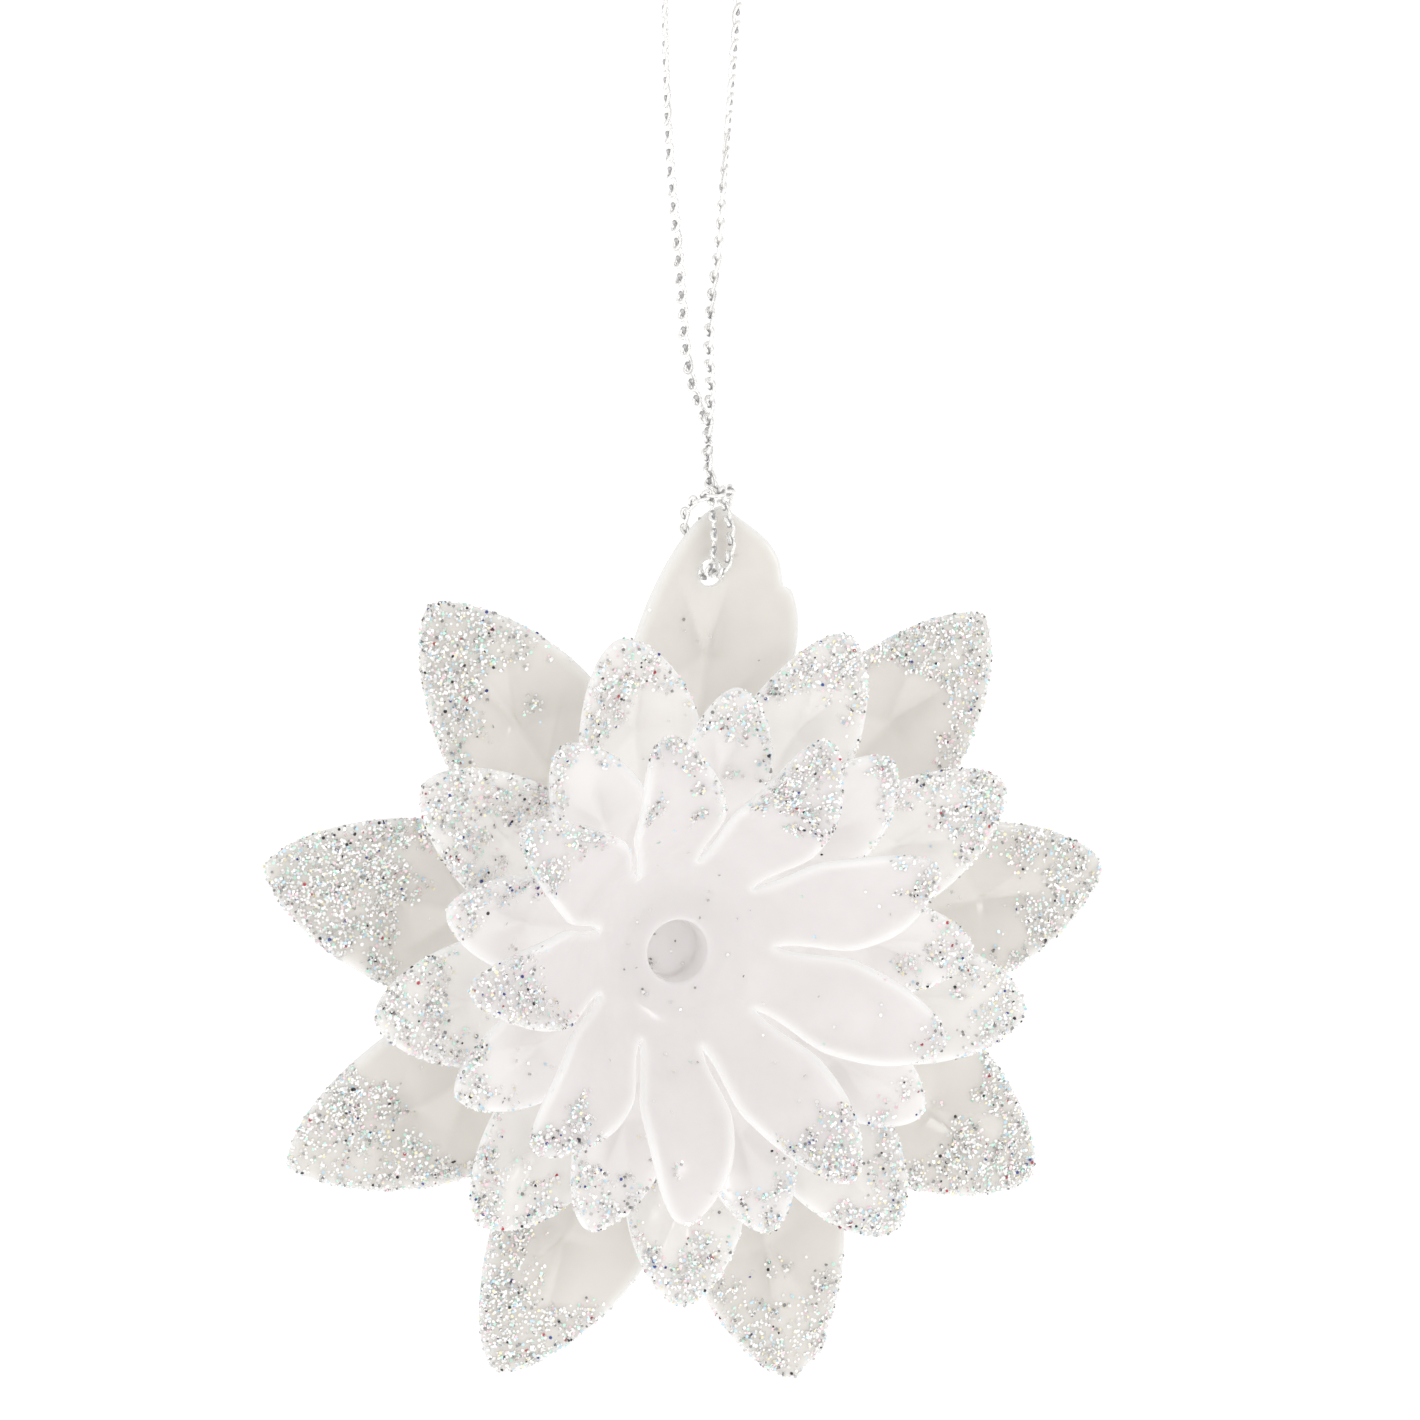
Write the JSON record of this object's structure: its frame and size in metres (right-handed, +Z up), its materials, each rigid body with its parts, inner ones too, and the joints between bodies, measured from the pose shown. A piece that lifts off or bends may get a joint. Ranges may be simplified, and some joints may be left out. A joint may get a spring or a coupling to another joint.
{
  "type": "hanging flower ornament",
  "caption": "Hanging ornament: a layered translucent plastic flower of stacked petal whorls with glittered tips, on a loop of metallic cord.",
  "frame": {"origin": "hanging point, in the crotch of the cord loop under its knot, where a hook bears", "axes": "+Z up along the hanging line, flower faces -Y, +X to the right seen from the front"},
  "size_m": [0.097, 0.0234, 0.1808],
  "materials": {
    "frosted_plastic": "milky translucent moulded plastic, satin, with silver glitter glued on the petal tips",
    "cap_plastic": "milky translucent moulded plastic, satin",
    "metallic_cord": "bright silver metallised yarn, plaited"
  },
  "bodies": {
    "loop": {"cord_leg_left": "metallic_cord", "cord_leg_right": "metallic_cord", "cord_tail_left": "metallic_cord", "cord_tail_right": "metallic_cord", "cord_knot": "metallic_cord"},
    "neck": {"cord_neck": "metallic_cord"},
    "back_whorl": {"back_petal_tier": "frosted_plastic", "cord_hitch": "metallic_cord"},
    "second_whorl": {"second_petal_tier": "frosted_plastic"},
    "third_whorl": {"third_petal_tier": "frosted_plastic"},
    "front_whorl": {"front_petal_tier": "frosted_plastic", "peg_cap": "cap_plastic"}
  },
  "joints": [
    {"name": "cord_twist", "type": "hinge", "parent": "loop", "child": "neck", "pos_m": [0, 0, -0.06665], "axis": [0, 0, 1], "range_deg": [-180, 180]},
    {"name": "flower_swing", "type": "hinge", "parent": "neck", "child": "back_whorl", "pos_m": [0, 0, -0.0694], "axis": [1, 0, 0], "range_deg": [-60, 60]},
    {"name": "second_whorl_turn", "type": "hinge", "parent": "back_whorl", "child": "second_whorl", "pos_m": [-0.003, -0.00092, -0.124], "axis": [0, -1, 0], "range_deg": [-180, 180]},
    {"name": "third_whorl_turn", "type": "hinge", "parent": "back_whorl", "child": "third_whorl", "pos_m": [-0.003, -0.00092, -0.124], "axis": [0, -1, 0], "range_deg": [-180, 180]},
    {"name": "front_whorl_turn", "type": "hinge", "parent": "back_whorl", "child": "front_whorl", "pos_m": [-0.003, -0.00092, -0.124], "axis": [0, -1, 0], "range_deg": [-180, 180]}
  ]
}
